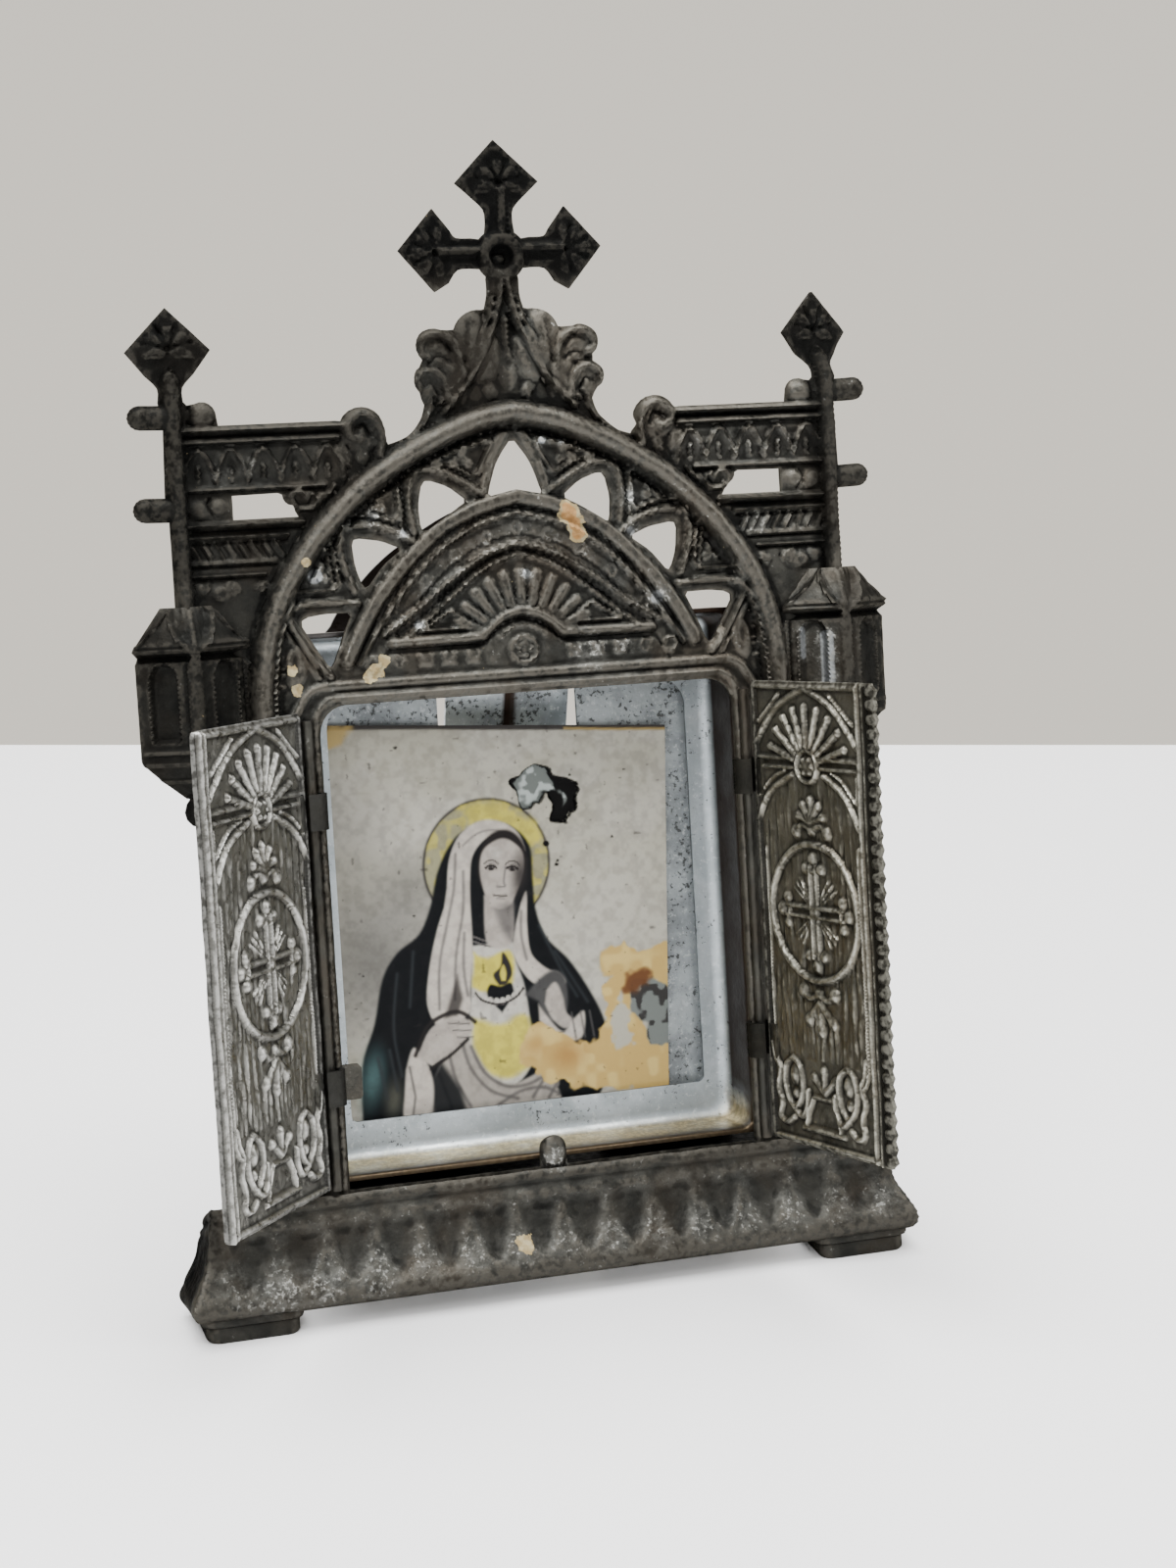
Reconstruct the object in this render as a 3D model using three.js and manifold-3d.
// A small standing shrine of stamped and pierced sheet metal: a Gothic front with a window,
// a shallow tray behind the window, a holy card, a back plate with a bent-out strut, and two
// hinged doors. Millimetres. Every piece is drawn in the front's own frame: x to the right,
// y up along the front, z out of the front. One group then leans that frame back.
import * as THREE from 'three';
import { mergeVertices } from 'three/addons/utils/BufferGeometryUtils.js';
import Module from 'manifold-3d';

const wasm = await Module();
wasm.setup();

// Driving dimensions
const LEAN = THREE.MathUtils.degToRad(10.64);
const GAP = 0.3;
const FRONT_BACK = -1.0;
const GROUND = -0.4;
// Raised lines start this far under their floor; those narrower than THIN_LINE have a sharp crest.
const SINK = 0.2;
const THIN_LINE = 0.62;

const CROSS_TOP = 84;
const CROSS_CENTRE = 75.8;
const ARM_REACH = 4.75;
const LOZENGE = 3.0;

const RAIL_TOP = 64.45;
const SHAFT_IN = 24.0;
const SHAFT_OUT = 25.25;
const PINNACLE = { u: 24.6, v: 69.75, neck: 66.2 };
const PINNACLE_TWIST = THREE.MathUtils.degToRad(18);
const NUBS = [65.2, 58.75];
const NUB_RADIUS = 0.85;
const NUB_END = 27.75;

const WINDOW = { half: 15.75, low: 9.0, high: 44.2, corner: 2.0 };
const SLOT = { inner: 16.6, outer: 20.75, low: 57.75, high: 59.55 };
const FLANK = 20.4;
const SPRING = 45;

const TURRET = { inner: 20.4, outer: 28.4, low: 41.2, high: 49.2, apex: 51.9, front: 1.9 };
const PIER = { inner: 24.05, outer: 24.95 };
const CORBEL_LOW = 38.4;
const KNOB_LOW = 36.3;

const BASE = { half: 25.3, back: -3.5, wall: 0.9, cavity: [0.5, 8.0] };
// How far the base stands out, [height, projection], from its foot to its sill.
const BASE_PROFILE = [
  [1.2, 1.8], [1.5, 2.35], [2.0, 2.6], [2.6, 2.5], [3.1, 2.2], [4.0, 1.65], [5.2, 1.15],
  [6.5, 0.8], [7.3, 0.7], [7.6, 0.45], [8.1, 0.5], [8.4, 0.8], [8.8, 0.75], [9.0, 0.45],
];
const PENDANTS = 14;
const PENDANT = { pitch: 3.55, top: 7.0, tip: 3.1, half: 1.3 };
const FOOT = { inner: 20.1, outer: 26.9, back: -3.2, front: 1.9, top: 1.6, step: 0.75 };
const SILL_TONGUE = { half: 1.0, high: 11.3 };

const HINGE = { u: 16.6, w: 0.35, rod: 0.4 };
const LUGS = [16.85, 36.8];
const LUG = { inner: 0.72, outer: 1.15, half: 1.3 };
const DOOR = { start: 0.75, end: 16.4, low: 9.35, high: 43.9, back: 0.62, field: 0.3 };
// The middle line of a door's ornament, and the beads along the right-hand door's edge.
const DOOR_AXIS = 8.0;
const BEADS = 34;
const OPEN_LEFT = THREE.MathUtils.degToRad(127.7);
const OPEN_RIGHT = THREE.MathUtils.degToRad(102.3);

const TRAY = { half: 16.6, low: 9.45, high: 49.4, wall: 0.4, front: -1.3, floor: -5.5 };
const TRAY_RING = { half: 13.6, low: 12.9, high: 44.3, corner: 2.2 };
const TRAY_FLANGE = 1.3;
const CARD = { half: 13.9, low: 12.0, front: -6.15, back: -6.35, left: 42.5, right: 40.6, trim: 12.5 };
const PLATE = { half: 16.4, low: 3.0, front: -6.7, back: -7.05, shoulder: 46.0 };
const STRUT = { half: 4.6, slot: 5.25, bend: 47.5, length: 46.35 };

// Curves of the front, as right-hand halves: each starts on the centre line.
const ARCH = [[0, 64.55], [3, 64.0], [6.2, 62.7], [9.5, 60.95], [12.4, 58.85], [15.3, 55.9],
  [17.6, 52.6], [19.0, 49.0], [19.6, SPRING]];
const TYMPANUM = [[0, 58.5], [3.4, 57.6], [6.3, 56.1], [9.0, 53.6], [11.3, 50.8], [13.2, 47.4]];
const TYMPANUM_INNER = [[0, 57.3], [3.1, 56.5], [6.0, 54.8], [8.6, 52.3], [11.0, 49.2], [12.3, 47.2]];
const GABLET = [[0, 54.5], [2.6, 53.6], [5.2, 51.8], [7.7, 49.8], [9.6, 48.3]];

// ---- Helpers -------------------------------------------------------------------------------

function signedVolume(positions, index) {
  let sum = 0;
  for (let i = 0; i < index.length; i += 3) {
    const [a, b, c] = [index[i], index[i + 1], index[i + 2]].map((k) => positions.slice(3 * k, 3 * k + 3));
    sum += a[0] * (b[1] * c[2] - b[2] * c[1]);
    sum += a[1] * (b[2] * c[0] - b[0] * c[2]);
    sum += a[2] * (b[0] * c[1] - b[1] * c[0]);
  }
  return sum;
}

function solidFrom(positions, index) {
  if (signedVolume(positions, index) < 0) {
    index.reverse();
  }
  const mesh = new wasm.Mesh({
    numProp: 3,
    vertProperties: new Float32Array(positions),
    triVerts: new Uint32Array(index),
  });
  return new wasm.Manifold(mesh);
}

function solidOf(geometry) {
  const bare = new THREE.BufferGeometry();
  bare.setAttribute('position', geometry.getAttribute('position'));
  bare.setIndex(geometry.getIndex());
  const merged = mergeVertices(bare, 1e-4);
  return solidFrom([...merged.getAttribute('position').array], [...merged.getIndex().array]);
}

function geometryOf(solid) {
  const mesh = solid.getMesh();
  const geometry = new THREE.BufferGeometry();
  geometry.setAttribute('position', new THREE.BufferAttribute(mesh.vertProperties, 3));
  geometry.setIndex(new THREE.BufferAttribute(mesh.triVerts, 1));
  geometry.computeVertexNormals();
  return geometry;
}

function fuse(solids) {
  return solids.reduce((sum, solid) => sum.add(solid));
}

// A solid through rings of the same number of points: open with flat ends, or looped.
function loft(rings, looped = false) {
  const n = rings[0].length;
  const index = [];
  const spans = looped ? rings.length : rings.length - 1;
  for (let i = 0; i < spans; i += 1) {
    const a = i * n;
    const b = ((i + 1) % rings.length) * n;
    for (let j = 0; j < n; j += 1) {
      const k = (j + 1) % n;
      index.push(a + j, a + k, b + k, a + j, b + k, b + j);
    }
  }
  if (!looped) {
    const last = (rings.length - 1) * n;
    for (let j = 1; j < n - 1; j += 1) {
      index.push(0, j + 1, j);
      index.push(last, last + j, last + j + 1);
    }
  }
  return solidFrom(rings.flat(2), index);
}

function anticlockwise(points) {
  const path = points.map((p) => new THREE.Vector2(...p));
  return THREE.ShapeUtils.isClockWise(path) ? path.reverse() : path;
}

// A flat piece between two depths, from an outline of [x, y] points and optional holes.
function slab(outline, back, front, holes = []) {
  const shape = new THREE.Shape(anticlockwise(outline));
  shape.holes = holes.map((hole) => new THREE.Path(anticlockwise(hole).reverse()));
  const geometry = new THREE.ExtrudeGeometry(shape, { depth: front - back, bevelEnabled: false });
  geometry.translate(0, 0, back);
  return solidOf(geometry);
}

function block(low, high) {
  const size = high.map((value, i) => value - low[i]);
  const geometry = new THREE.BoxGeometry(...size);
  geometry.translate(...low.map((value, i) => value + size[i] / 2));
  return solidOf(geometry);
}

function dome(u, v, radiusU, radiusV, height, turn = 0, sides = 6) {
  const geometry = new THREE.SphereGeometry(1, sides, 3);
  geometry.rotateX(Math.PI / 2);
  geometry.scale(radiusU, radiusV, height);
  geometry.rotateZ(turn);
  geometry.translate(u, v, GROUND);
  return solidOf(geometry);
}

function smooth(points, count) {
  const curve = new THREE.SplineCurve(points.map((p) => new THREE.Vector2(...p)));
  return curve.getSpacedPoints(count).map((p) => [p.x, p.y]);
}

function arc(u, v, radiusU, radiusV, from, to, count) {
  const points = [];
  for (let i = 0; i <= count; i += 1) {
    const angle = THREE.MathUtils.degToRad(from + ((to - from) * i) / count);
    points.push([u + radiusU * Math.cos(angle), v + radiusV * Math.sin(angle)]);
  }
  return points;
}

function flip(points) {
  return points.map(([u, v]) => [-u, v]);
}

// A half curve that starts on the centre line, made whole.
function both(half) {
  return [...flip(half).reverse(), ...half.slice(1)];
}

// A raised line along a path: its width at the foot, and its height above a floor.
function ridge(points, width, height, options = {}) {
  const { floor = GROUND, looped = false, round = false } = options;
  const half = width / 2;
  const low = floor - SINK;
  const top = floor + height;
  const shoulder = floor + height * 0.62;
  let crest = [[-half * 0.4, top], [half * 0.4, top]];
  if (width < THIN_LINE) {
    crest = [[0, top]];
  } else if (round) {
    crest = [[-half * 0.8, shoulder], [-half * 0.3, top], [half * 0.3, top], [half * 0.8, shoulder]];
  }
  const section = [[-half, low], ...crest, [half, low]];
  const count = points.length;
  const rings = points.map(([u, v], i) => {
    const before = looped ? points[(i + count - 1) % count] : points[Math.max(i - 1, 0)];
    const after = looped ? points[(i + 1) % count] : points[Math.min(i + 1, count - 1)];
    const inDir = new THREE.Vector2(u - before[0], v - before[1]).normalize();
    const outDir = new THREE.Vector2(after[0] - u, after[1] - v).normalize();
    const along = inDir.clone().add(outDir).normalize();
    const mitre = Math.min(1 / Math.max(along.dot(outDir.length() ? outDir : inDir), 0.5), 1.6);
    return section.map(([side, depth]) => [u - along.y * side * mitre, v + along.x * side * mitre, depth]);
  });
  return loft(rings, looped);
}

function mirrored(solid) {
  const mesh = solid.getMesh();
  const positions = [...mesh.vertProperties].map((value, i) => (i % 3 === 0 ? -value : value));
  return solidFrom(positions, [...mesh.triVerts]);
}

// ---- The front -----------------------------------------------------------------------------

function roundedWindow(half, low, high, corner, steps = 4) {
  return [
    [-half, low],
    [half, low],
    ...arc(half - corner, high - corner, corner, corner, 0, 90, steps),
    ...arc(-half + corner, high - corner, corner, corner, 90, 180, steps),
  ];
}

function frontOutline() {
  const shoulder = smooth(ARCH, 18).filter(([u]) => u < 9.3).map(([u, v]) => [u, v + 0.9]);
  const half = [
    ...shoulder,
    [9.7, 61.9],
    [12.3, RAIL_TOP],
    [SHAFT_OUT, RAIL_TOP],
    [SHAFT_OUT, TURRET.apex],
    [26.0, TURRET.apex - 0.1],
    [TURRET.outer, TURRET.high],
    [TURRET.outer, TURRET.low],
    [PIER.outer + 0.3, CORBEL_LOW],
    [PIER.inner - 0.3, CORBEL_LOW],
    [FLANK, TURRET.low],
    [FLANK, WINDOW.low - 0.6],
  ];
  return both(half);
}

// The pierced lights of the tracery, right-hand side from the crown down.
const LIGHTS = [
  [[3.55, 58.3], [4.9, 59.4], [6.45, 59.95], [6.95, 59.75], [7.3, 58.1], [7.2, 56.5], [6.95, 56.2],
    [5.3, 57.25]],
  [[8.6, 55.1], [10.1, 55.75], [12.0, 56.05], [12.35, 55.8], [12.2, 54.0], [11.75, 52.6], [11.4, 52.4],
    [10.1, 54.0]],
  [[12.6, 50.75], [14.6, 50.8], [16.1, 50.6], [16.45, 50.2], [15.7, 48.9], [14.5, 46.9], [14.2, 47.1],
    [13.3, 49.3]],
];

function crownLight() {
  return both([[0, 58.95], [1.9, 58.5], [2.05, 58.9], [1.3, 60.9], [0.25, 62.5]]);
}

function railSlot() {
  const { inner, outer, low, high } = SLOT;
  return [[inner - 0.2, low], [outer, low], [outer, high], [inner + 0.9, high], [inner + 0.2, high - 0.8]];
}

function frontPlate() {
  const holes = [
    roundedWindow(WINDOW.half, WINDOW.low, WINDOW.high, WINDOW.corner),
    crownLight(),
    ...LIGHTS,
    ...LIGHTS.map(flip),
    railSlot(),
    flip(railSlot()),
  ];
  return slab(frontOutline(), FRONT_BACK, GROUND, holes);
}

function lozenge(u, v, twist = 0) {
  const half = LOZENGE;
  const corners = [[0, half], [half, 0], [0, -half], [-half, 0]];
  const outline = corners.map(([x, y]) => [u + x, v + y]);
  const plate = slab(outline, FRONT_BACK, GROUND);
  const leaf = fuse([0, 1].map((quarter) => {
    const angle = (quarter * Math.PI) / 2;
    const reach = half * 0.72;
    const end = [reach * Math.cos(angle), reach * Math.sin(angle)];
    return ridge([[u - end[0], v - end[1]], [u + end[0], v + end[1]]], 0.95, 0.4);
  }));
  return twistAbout(plate.add(leaf), u, twist);
}

function twistAbout(solid, u, angle) {
  const mesh = solid.getMesh();
  const positions = [...mesh.vertProperties];
  const middle = (FRONT_BACK + GROUND) / 2;
  for (let i = 0; i < positions.length; i += 3) {
    const x = positions[i] - u;
    const z = positions[i + 2] - middle;
    positions[i] = u + x * Math.cos(angle) + z * Math.sin(angle);
    positions[i + 2] = middle - x * Math.sin(angle) + z * Math.cos(angle);
  }
  return solidFrom(positions, [...mesh.triVerts]);
}

function crossArm(angle, reach, half) {
  const along = [Math.cos(angle), Math.sin(angle)];
  const side = [-along[1], along[0]];
  const profile = [[0, half * 1.25], [1.8, half], [reach - 2.2, half], [reach - 1.3, half * 1.9]];
  const at = ([d, s]) => [along[0] * d + side[0] * s, CROSS_CENTRE + along[1] * d + side[1] * s];
  const outline = [...profile.map(at), ...profile.map(([d, s]) => at([d, -s])).reverse()];
  const start = at([1.2, 0]);
  const end = at([reach, 0]);
  return slab(outline, FRONT_BACK, GROUND).add(ridge([start, end], 0.8, 0.5));
}

function cross() {
  const upReach = CROSS_TOP - LOZENGE - CROSS_CENTRE;
  const ends = [
    [0, CROSS_CENTRE + upReach],
    [ARM_REACH, CROSS_CENTRE + 0.35],
    [-ARM_REACH, CROSS_CENTRE + 0.25],
  ];
  const boss = arc(0, CROSS_CENTRE, 1.3, 1.3, 0, 324, 9);
  const foot = [[-1.2, CROSS_CENTRE], [1.15, CROSS_CENTRE], [1.5, 71], [-1.5, 71]];
  return fuse([
    crossArm(Math.PI / 2, upReach, 0.95),
    crossArm(0, ARM_REACH, 1.1),
    crossArm(Math.PI, ARM_REACH, 1.1),
    slab(foot, FRONT_BACK, GROUND),
    ridge(boss, 0.95, 0.85, { looped: true }),
    slab(boss, FRONT_BACK, GROUND + 0.1),
    ...ends.map(([u, v]) => lozenge(u, v)),
  ]);
}

function finial() {
  const skirt = both([[0, 72.6], [1.4, 71.6], [3.9, 70.2], [5.2, 69.2], [5.6, 67.6], [5.9, 66.0],
    [6.3, 64.9], [7.2, 63.6], [8.3, 62.2], [0.01, 63.9]]);
  const right = [
    slab(arc(1.95, 69.85, 2.05, 2.1, -15, 165, 6), FRONT_BACK, GROUND),
    slab(arc(5.6, 69.4, 1.35, 1.35, -120, 150, 7), FRONT_BACK, GROUND),
    slab(arc(6.0, 66.8, 1.1, 1.15, -110, 130, 6), FRONT_BACK, GROUND),
    dome(2.3, 69.4, 1.4, 2.3, 0.75, -0.35, 7),
    dome(5.2, 69.5, 1.5, 0.95, 0.8, 0.2),
    dome(5.7, 66.8, 1.2, 0.9, 0.75, 0.4),
    ridge([[0.25, 73.2], [1.1, 70.4], [2.6, 67.4], [4.8, 64.9]], 0.8, 0.75),
  ];
  const half = fuse(right);
  return fuse([slab(skirt, FRONT_BACK, GROUND), half, mirrored(half), dome(0, 67.6, 0.9, 1.4, 0.5)]);
}

function archRib() {
  const half = smooth(ARCH, 10);
  const leg = [[19.6, 30], [19.6, WINDOW.low - 0.5]];
  return ridge(both([...half, ...leg]), 1.65, 1.3, { round: true });
}

function windowFrame() {
  const outer = arc(WINDOW.half - 0.3, 43.6, 2.0, 2.0, 90, 0, 5);
  const top = [[0, 45.6], ...outer, [WINDOW.half + 1.9, 38.9]];
  return fuse([
    ridge(both(top), 0.7, 0.4),
    ridge([[-13.9, 44.72], [13.9, 44.72]], 0.6, 0.35),
  ]);
}

function tympanum() {
  const rise = [[0, 50.1], [1.2, 49.9], [2.2, 49.2], [3.1, 48.45], [9.4, 48.4]];
  const rays = [];
  for (let i = 0; i < 9; i += 1) {
    const angle = THREE.MathUtils.degToRad(26 + (128 * i) / 8);
    const near = [3.4 * Math.cos(angle), 48.1 + 2.9 * Math.sin(angle)];
    const far = [5.2 * Math.cos(angle), 48.1 + 4.9 * Math.sin(angle)];
    rays.push(ridge([near, far], 0.55, 0.45));
  }
  const band = [3.8, 5.6, 7.4].map((u) => block([u - 0.5, 46.5, GROUND - SINK], [u + 0.5, 47.6, -0.15]));
  return fuse([
    ridge(both(smooth(TYMPANUM, 6)), 0.85, 0.75),
    ridge(both(smooth(TYMPANUM_INNER, 6)), 0.6, 0.55),
    ridge(both(smooth(GABLET, 5)), 0.7, 0.65),
    ridge(both(rise), 0.7, 0.6),
    dome(0, 47.3, 1.05, 1.0, 0.45),
    ...rays,
    ...band,
    ...band.map(mirrored),
  ]);
}

function tracery() {
  const right = [
    ridge([[2.9, 58.6], [4.9, 60.2], [7.0, 60.75], [8.05, 59.9], [8.05, 56.2]], 0.55, 0.55),
    ridge([[8.0, 55.5], [10.0, 56.5], [12.6, 56.85], [13.2, 55.8], [12.6, 51.9]], 0.55, 0.55),
    ridge([[12.3, 51.5], [14.6, 51.5], [17.0, 51.2], [17.3, 50.2], [14.9, 46.4]], 0.55, 0.55),
    ridge([[2.6, 59.2], [1.8, 61.6], [0.5, 63.4]], 0.55, 0.5),
    dome(4.6, 61.6, 1.3, 0.5, 0.35, -0.4),
    dome(10.1, 58.4, 1.2, 0.5, 0.35, -0.7),
    dome(14.9, 53.3, 1.0, 0.5, 0.35, -1.0),
    dome(16.9, 47.4, 0.7, 1.6, 0.45, 0.1),
  ];
  const half = fuse(right);
  return half.add(mirrored(half));
}

function railBand() {
  const runs = [
    [64.15, 11.9, 0.6, 0.9], [63.3, 12.3, 0.55, 0.7], [60.0, 14.0, 0.4, 0.5],
    [57.35, 16.6, 0.5, 0.8], [56.55, 17.2, 0.5, 0.8], [54.75, 17.6, 0.35, 0.5], [53.95, 18.4, 0.35, 0.5],
  ];
  const end = SHAFT_IN + 0.2;
  const lines = runs.map(([v, from, width, height]) => ridge([[from, v], [end, v]], width, height));
  const arches = [];
  for (let i = 0; i < 5; i += 1) {
    const u = 13.7 + 2.32 * i;
    const path = [[u - 0.85, 60.6], ...arc(u, 61.8, 0.85, 0.95, 160, 20, 2), [u + 0.85, 60.6]];
    arches.push(ridge(path, 0.35, 0.4));
  }
  const beads = [];
  for (let i = 0; i < 7; i += 1) {
    const u = 18.2 + 0.88 * i;
    beads.push(ridge([[u - 0.25, 55.2], [u + 0.25, 56.0]], 0.45, 0.45));
  }
  const leaves = [
    dome(19.9, 53.0, 1.0, 0.6, 0.5, 0.5),
    dome(22.3, 52.8, 1.3, 0.65, 0.55, -0.3),
    dome(22.6, 58.7, 1.5, 0.75, 0.6, 0.2),
    dome(15.5, 58.9, 1.2, 0.6, 0.5, 0.5),
    dome(22.9, 65.3, 1.3, 0.85, 0.7, 0.1),
  ];
  return fuse([...lines, ...arches, ...beads, ...leaves]);
}

function volute() {
  const disc = slab(arc(11.1, 63.85, 1.65, 1.65, -30, 210, 9), FRONT_BACK, GROUND);
  const curl = smooth([[11.1, 62.9], [10.2, 63.9], [11.1, 64.95], [12.1, 64.0], [11.3, 63.6]], 6);
  return disc.add(ridge(curl, 0.6, 0.7));
}

function shaft() {
  const width = SHAFT_OUT - SHAFT_IN;
  const middle = SHAFT_IN + width / 2;
  const blob = slab([[21.3, 64.2], [21.5, 65.5], [22.3, 66.1], [23.4, 66.1], [24.2, 65.6], [24.2, 64.2]],
    FRONT_BACK, GROUND);
  const nubs = NUBS.map((v) => {
    const geometry = new THREE.CapsuleGeometry(NUB_RADIUS, 2, 2, 7);
    geometry.rotateZ(Math.PI / 2);
    geometry.translate(NUB_END - NUB_RADIUS - 1, v, GROUND - 0.1);
    return solidOf(geometry);
  });
  const neck = [[SHAFT_IN, PINNACLE.neck - 1.8], [SHAFT_OUT, PINNACLE.neck - 1.8], [25.45, 67.4],
    [26.4, 68.2], [22.8, 68.2], [23.75, 67.4]];
  return fuse([
    ridge([[middle, TURRET.apex - 1], [middle, PINNACLE.neck + 2.2]], width, 1.0, { round: true }),
    slab(neck, FRONT_BACK, GROUND),
    blob,
    ...nubs,
  ]);
}

function turretPlan(level, inner, outer, front) {
  const middle = (PIER.inner + PIER.outer) / 2;
  const pier = (PIER.outer - PIER.inner) / 2;
  return [[inner, level, FRONT_BACK], [inner, level, GROUND], [middle - pier, level, front],
    [middle + pier, level, front], [outer, level, GROUND], [outer, level, FRONT_BACK]];
}

// A gable and a sunk lancet on one slanted face of a turret, drawn flat and then turned.
function turretFace(inward) {
  const from = inward ? TURRET.inner : TURRET.outer;
  const to = inward ? PIER.inner : PIER.outer;
  const rise = TURRET.front - GROUND;
  const width = Math.hypot(to - from, rise);
  const angle = Math.atan2(rise, to - from);
  const gable = [[0.1, TURRET.high], [width - 0.1, TURRET.high], [width * 0.55, TURRET.apex - 0.2]];
  const lancet = [[width * 0.3, 42.6], [width * 0.78, 42.6], [width * 0.78, 47.2],
    [width * 0.54, 48.0], [width * 0.3, 47.2]];
  const place = (solid) => turnedInto(solid, from, GROUND, angle, inward ? 1 : -1);
  return {
    gable: place(slab(gable, -0.9, 0.28)),
    eave: place(slab([[0.1, 48.6], [width, 48.6], [width, 49.3], [0.1, 49.3]], -0.5, 0.28)),
    lancet: place(slab(lancet, -0.35, 0.6)),
  };
}

// Drawn with x along the face and z out of it; the face starts at (u, w) and runs at the angle.
function turnedInto(solid, u, w, angle, sense) {
  const mesh = solid.getMesh();
  const positions = [...mesh.vertProperties];
  const run = [Math.cos(angle), Math.sin(angle)];
  const out = sense > 0 ? [-run[1], run[0]] : [run[1], -run[0]];
  for (let i = 0; i < positions.length; i += 3) {
    const [x, z] = [positions[i], positions[i + 2]];
    positions[i] = u + x * run[0] + z * out[0];
    positions[i + 2] = w + x * run[1] + z * out[1];
  }
  return solidFrom(positions, [...mesh.triVerts]);
}

function turret() {
  const { inner, outer, low, high, apex, front } = TURRET;
  const body = loft([
    turretPlan(low, inner, outer, front),
    turretPlan(high, inner, outer, front),
    turretPlan(apex - 0.1, 23.2, 26.0, GROUND + 0.5),
  ]);
  const corbel = loft([
    turretPlan(CORBEL_LOW, PIER.inner - 0.3, PIER.outer + 0.3, GROUND + 0.7),
    turretPlan(low + 0.05, inner, outer, front),
  ]);
  const knob = new THREE.SphereGeometry(1.15, 7, 4);
  knob.translate((PIER.inner + PIER.outer) / 2, KNOB_LOW + 1.15, GROUND);
  const neck = slab([[23.6, KNOB_LOW + 1], [25.4, KNOB_LOW + 1], [25.4, CORBEL_LOW + 0.3],
    [23.6, CORBEL_LOW + 0.3]], FRONT_BACK, GROUND + 0.3);
  const faces = [turretFace(true), turretFace(false)];
  const whole = fuse([body, corbel, solidOf(knob), neck, ...faces.flatMap((f) => [f.gable, f.eave])]);
  return faces.reduce((solid, face) => solid.subtract(face.lancet), whole);
}

function baseRing(v, out, cut = 0) {
  const side = BASE.half + out - cut;
  const back = BASE.back - (cut ? 1 : 0);
  const front = out - cut;
  return [[-side, v, back], [side, v, back], [side, v, front], [-side, v, front]];
}

function base() {
  const shell = loft(BASE_PROFILE.map(([v, out]) => baseRing(v, out)));
  const [low, high] = BASE.cavity;
  const inside = BASE_PROFILE.filter(([v]) => v < high);
  const hollow = loft([[low, inside[0][1]], ...inside, [high, 0.6]]
    .map(([v, out]) => baseRing(v, out, BASE.wall)));
  const pendants = [];
  for (let i = 0; i < PENDANTS; i += 1) {
    pendants.push(pendant((i - (PENDANTS - 1) / 2) * PENDANT.pitch));
  }
  return fuse([shell.subtract(hollow), ...pendants]);
}

// A pointed leaf that hangs on the hollow of the base, following its curve.
function pendant(u) {
  const { top, tip, half } = PENDANT;
  const levels = [[top, 1, 0.95], [4.6, 0.75, 1.6], [tip, 0.12, 2.35]];
  const rings = levels.map(([v, share, out]) => [
    [u - half * share, v, out - 0.6],
    [u, v, out + 0.12],
    [u + half * share, v, out - 0.6],
    [u, v, out - 0.9],
  ]);
  return loft(rings);
}

function foot() {
  const { inner, outer, back, front, top, step } = FOOT;
  return block([inner, -1.5, back], [outer, step + 0.05, front])
    .add(block([inner - 0.25, step, back], [outer + 0.3, top, front + 0.25]));
}

// Everything below the ground plane, in the front's own frame.
function groundCut() {
  const geometry = new THREE.BoxGeometry(80, 80, 20);
  geometry.translate(0, 0, -10);
  const box = geometry.clone();
  box.rotateX(-(Math.PI / 2 - LEAN));
  return solidOf(box);
}

function hingeRods() {
  const geometry = new THREE.CylinderGeometry(HINGE.rod, HINGE.rod, WINDOW.high - WINDOW.low - 1.2, 10);
  geometry.translate(HINGE.u, (WINDOW.high + WINDOW.low) / 2 - 0.4, HINGE.w);
  const bar = solidOf(geometry);
  const jamb = block(
    [HINGE.u - 0.3, WINDOW.low - 0.3, GROUND - SINK],
    [HINGE.u + 0.3, WINDOW.high - 1.0, HINGE.w],
  );
  return { bar, jamb };
}

function lugSlots() {
  return fuse(LUGS.map((v) => {
    const reach = LUG.outer + GAP;
    return block([WINDOW.half - 1, v - LUG.half - GAP, -5], [HINGE.u + reach, v + LUG.half + GAP, 5]);
  }));
}

function front() {
  const rods = hingeRods();
  const sides = fuse([railBand(), volute(), shaft(), turret(), foot(), rods.jamb]);
  const tongue = slab([[-SILL_TONGUE.half, 8.6], [SILL_TONGUE.half, 8.6],
    ...arc(0, SILL_TONGUE.high - SILL_TONGUE.half, SILL_TONGUE.half, SILL_TONGUE.half, 0, 180, 6)],
  FRONT_BACK, GROUND);
  let solid = fuse([frontPlate(), cross(), finial(), archRib(), windowFrame(), tympanum(), tracery(),
    base(), sides, mirrored(sides), tongue]);
  const slots = lugSlots();
  solid = solid.subtract(slots).subtract(mirrored(slots)).subtract(groundCut());
  const pinnacle = lozenge(PINNACLE.u, PINNACLE.v);
  const bent = lozenge(PINNACLE.u - 0.7, PINNACLE.v - 0.25, PINNACLE_TWIST);
  return fuse([solid, rods.bar, mirrored(rods.bar), mirrored(pinnacle), bent]);
}

// ---- The doors: x away from the hinge, y up, z out of the closed door ------------------------

// A raised line on the inner face of a door; the relief stands towards the window.
function relief(points, width, height, looped = false) {
  const raised = ridge(points, width, height, { floor: 0, looped });
  return insideOut(raised);
}

function insideOut(solid) {
  const mesh = solid.getMesh();
  const positions = [...mesh.vertProperties].map((value, i) => (i % 3 === 2 ? DOOR.field - value : value));
  return solidFrom(positions, [...mesh.triVerts]);
}

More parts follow.
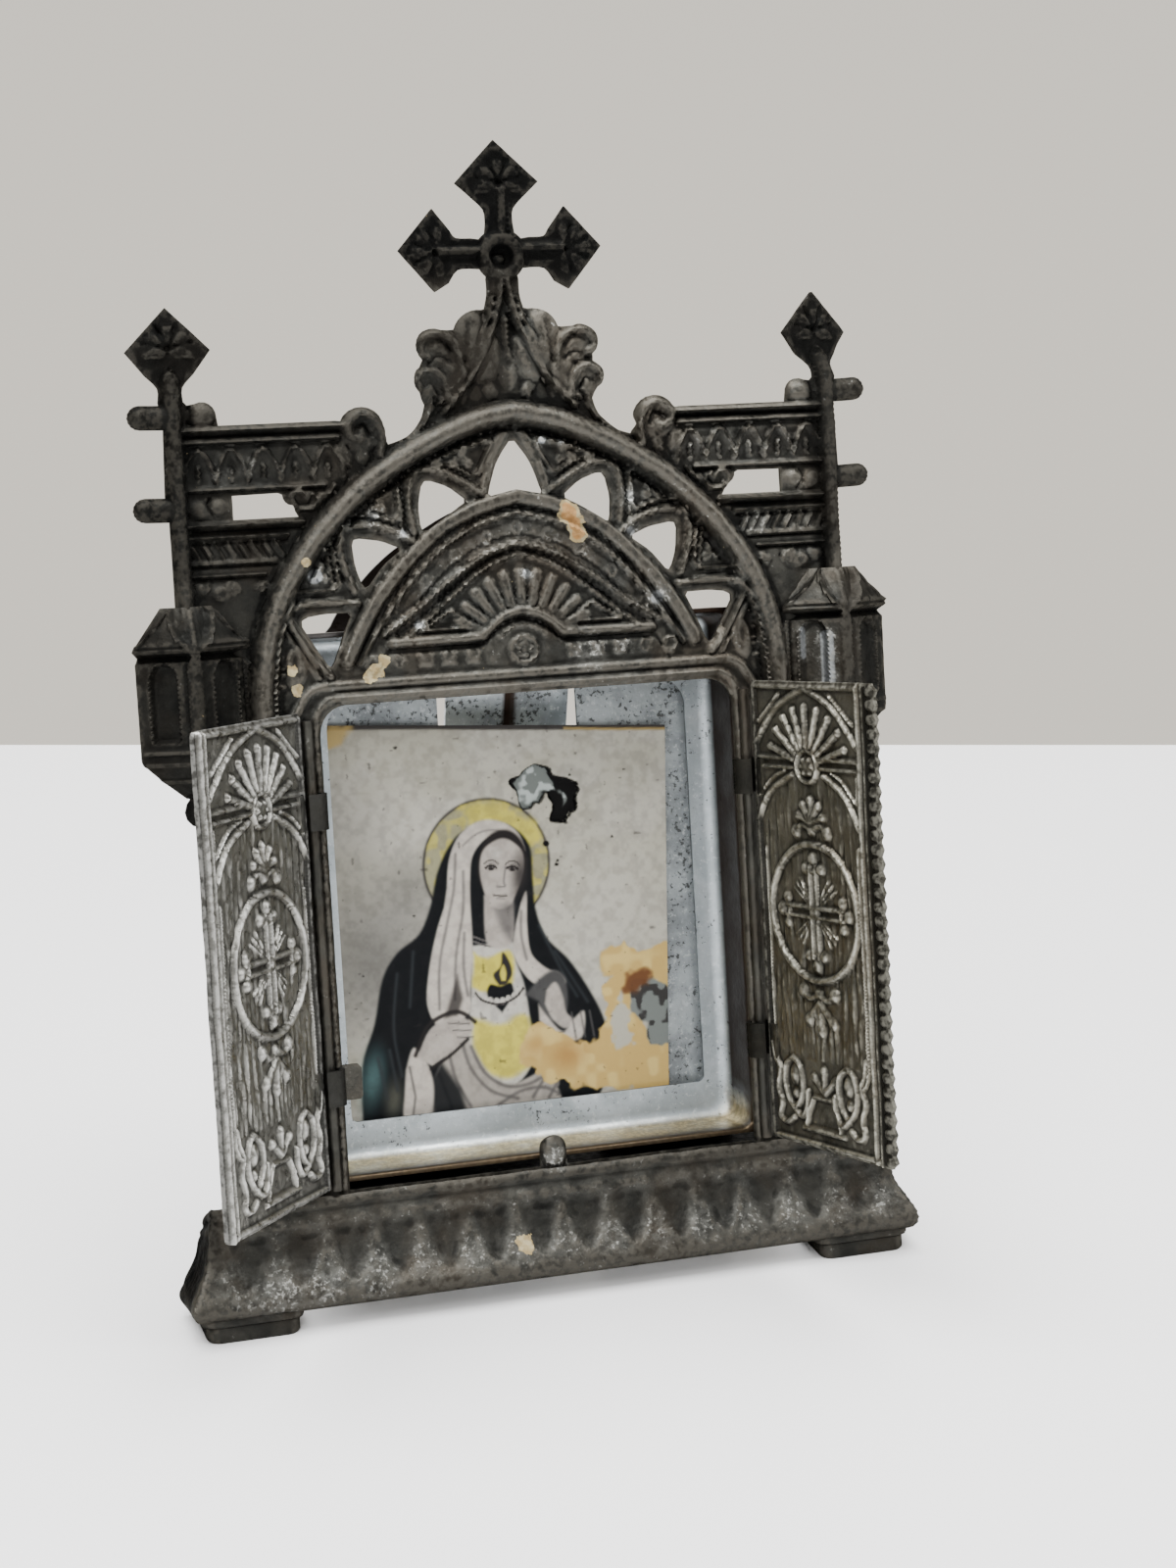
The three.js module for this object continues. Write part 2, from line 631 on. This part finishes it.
function knot(s, v, radius, height = 0.3) {
  const geometry = new THREE.SphereGeometry(1, 6, 3);
  geometry.rotateX(Math.PI / 2);
  geometry.scale(radius, radius, height);
  geometry.translate(s, v, DOOR.field);
  return solidOf(geometry);
}

function doorRelief() {
  const mid = DOOR_AXIS;
  const rim = [[1.1, 9.8], [15.3, 9.8], [15.3, 43.4], [1.1, 43.4]];
  const crown = arc(mid, 38.0, 6.6, 5.2, 165, 15, 7);
  const arch = [[mid - 6.5, 17], [mid - 6.5, 31.5], ...arc(mid, 31.6, 6.5, 6.2, 160, 20, 6),
    [mid + 6.5, 31.5], [mid + 6.5, 17]];
  const ring = arc(mid, 27.1, 5.1, 5.1, 0, 334.3, 13);
  const rays = [];
  for (let i = 0; i < 7; i += 1) {
    const angle = THREE.MathUtils.degToRad(24 + 22 * i);
    const near = [mid + 1.7 * Math.cos(angle), 37.9 + 1.5 * Math.sin(angle)];
    const far = [mid + 4.9 * Math.cos(angle), 37.9 + 4.1 * Math.sin(angle)];
    rays.push(relief([near, far], 0.6, 0.26));
  }
  const bars = [
    relief([[mid - 6.6, 38.0], [mid - 1.2, 38.0]], 0.6, 0.26),
    relief([[mid + 1.2, 38.0], [mid + 6.6, 38.0]], 0.6, 0.26),
    relief([[mid - 3.6, 27.1], [mid + 3.6, 27.1]], 0.9, 0.28),
    relief([[mid, 23.6], [mid, 30.7]], 0.9, 0.28),
    relief([[mid - 4.6, 10.9], [mid + 4.6, 10.9]], 0.5, 0.22),
  ];
  const knots = [
    [mid, 37.8, 1.2], [mid, 34.7, 0.95], [mid - 2.0, 33.2, 0.7], [mid + 2.0, 33.2, 0.7],
    [mid - 4.1, 27.1, 0.85], [mid + 4.1, 27.1, 0.85], [mid, 31.2, 0.8], [mid, 23.1, 0.8],
    [mid - 2.0, 21.1, 0.7], [mid + 2.0, 21.1, 0.7], [mid, 18.9, 1.2], [mid, 14.5, 0.9],
    [mid - 4.0, 13.2, 1.6], [mid + 4.0, 13.2, 1.6],
  ].map((args) => knot(...args));
  return fuse([
    relief(rim, 0.6, 0.3, true),
    relief(crown, 0.5, 0.28),
    relief(arch, 0.5, 0.28),
    relief(ring, 0.6, 0.3, true),
    ...rays,
    ...bars,
    ...knots,
  ]);
}

// The strap that curls round the hinge rod, open towards the inside of the door.
function lugRing(v) {
  const shape = new THREE.Shape();
  shape.absarc(0, 0, LUG.outer, Math.PI * 1.9, Math.PI * 0.2, true);
  shape.absarc(0, 0, LUG.inner, Math.PI * 0.2, Math.PI * 1.9, false);
  const options = { depth: 2 * LUG.half, bevelEnabled: false, curveSegments: 8 };
  const geometry = new THREE.ExtrudeGeometry(shape, options);
  geometry.rotateX(-Math.PI / 2);
  geometry.translate(0, v - LUG.half, 0);
  return solidOf(geometry);
}

// The row of beads that covers the joint between the closed doors.
function beadStrip() {
  const { end, low, high, field } = DOOR;
  const pitch = (high - low - 0.4) / BEADS;
  const outline = [[end - 0.9, high - 0.2], [end - 0.9, low + 0.2]];
  for (let i = 0; i < BEADS; i += 1) {
    const v = low + 0.2 + i * pitch;
    outline.push([end - 0.3, v], [end, v + pitch / 2]);
  }
  return slab(outline, 0.02, field + 0.1);
}

function door(beaded) {
  const { start, end, low, high, back, field } = DOOR;
  const panel = block([start, low, field], [end, high, back]);
  const edge = beaded
    ? beadStrip()
    : relief([[end - 0.5, low + 0.1], [end - 0.5, high - 0.1]], 0.9, 0.28);
  const straps = LUGS.map((v) => lugRing(v).add(block([0.8, v - LUG.half, -0.1], [2.1, v + LUG.half, back])));
  return fuse([panel, doorRelief(), edge, ...straps]);
}

// ---- Tray, card and back plate ---------------------------------------------------------------

function tray() {
  const { half, low, high, wall, front: lip, floor } = TRAY;
  const outer = [[-half, low], [half, low], [half, high], [-half, high]];
  const inner = [[-half + wall, low + wall], [half - wall, low + wall], [half - wall, high - wall],
    [-half + wall, high - wall]];
  const ring = roundedWindow(TRAY_RING.half, TRAY_RING.low, TRAY_RING.high, TRAY_RING.corner);
  const reach = half + TRAY_FLANGE;
  const flange = [[-reach, low], [reach, low], [reach, high], [-reach, high]];
  return fuse([
    slab(outer, floor - wall, lip, [inner]),
    slab(outer, floor - wall, floor, [ring]),
    slab(flange, lip - wall, lip, [inner]),
  ]);
}

function picture() {
  const { half, low, front: face, back, left, right, trim } = CARD;
  return slab([[-half, low], [trim - 1.7, low], [trim, right], [-half, left]], back, face);
}

function backPlate() {
  const { half, low, front: face, back, shoulder } = PLATE;
  const crown = smooth(TYMPANUM, 9);
  const outline = both([...crown, [half, shoulder], [half, low]]);
  const cut = slab([[-STRUT.slot, low - 1], [STRUT.slot, low - 1], [STRUT.slot, STRUT.bend],
    [-STRUT.slot, STRUT.bend]], back - 1, face + 1);
  return slab(outline, back, face).subtract(cut).add(strut()).subtract(groundCut());
}

// The tongue cut from the plate and bent out behind it, down to the ground.
function strut() {
  const { half, bend, length } = STRUT;
  const thick = PLATE.front - PLATE.back;
  const drop = bend * Math.cos(LEAN) + PLATE.front * Math.sin(LEAN);
  const swing = LEAN + Math.acos(drop / length);
  const geometry = new THREE.BoxGeometry(2 * half, length + 1.5, thick);
  geometry.translate(0, -(length + 1.5) / 2, -thick / 2);
  geometry.rotateX(swing);
  geometry.translate(0, bend + 0.4, PLATE.front);
  return solidOf(geometry);
}

// ---- Assembly --------------------------------------------------------------------------------

const FINISH = {
  tarnished: { color: 0x3a3733, roughness: 0.5, metalness: 0.8 },
  brightTin: { color: 0xa9b4ba, roughness: 0.35, metalness: 0.9 },
  dullTin: { color: 0x8f9599, roughness: 0.4, metalness: 0.9 },
  paleDoor: { color: 0x9a9890, roughness: 0.4, metalness: 0.85 },
  darkDoor: { color: 0x6f6a60, roughness: 0.45, metalness: 0.85 },
  card: { color: 0xb9b2a8, roughness: 0.8, metalness: 0 },
};

function piece(name, solid, finish) {
  const mesh = new THREE.Mesh(geometryOf(solid), new THREE.MeshStandardMaterial(finish));
  mesh.name = name;
  return mesh;
}

function hinged(mesh, side, angle) {
  const hinge = new THREE.Group();
  hinge.position.set(side * HINGE.u, 0, HINGE.w);
  hinge.rotation.y = side * angle;
  hinge.add(mesh);
  return hinge;
}

const shrine = new THREE.Group();
shrine.rotation.x = Math.PI / 2 - LEAN;
shrine.add(piece('facade', front(), FINISH.tarnished));
shrine.add(piece('tray', tray(), FINISH.brightTin));
shrine.add(piece('picture', picture(), FINISH.card));
shrine.add(piece('back_plate', backPlate(), FINISH.dullTin));
shrine.add(hinged(piece('door_left', door(false), FINISH.paleDoor), -1, OPEN_LEFT));
shrine.add(hinged(piece('door_right', mirrored(door(true)), FINISH.darkDoor), 1, OPEN_RIGHT));

// The origin is on the ground, under the middle of the whole.
const group = new THREE.Group();
group.add(shrine);
group.updateMatrixWorld(true);
const bounds = new THREE.Box3().setFromObject(group, true);
shrine.position.y = -(bounds.min.y + bounds.max.y) / 2;
shrine.position.x = -(bounds.min.x + bounds.max.x) / 2;

export default group;
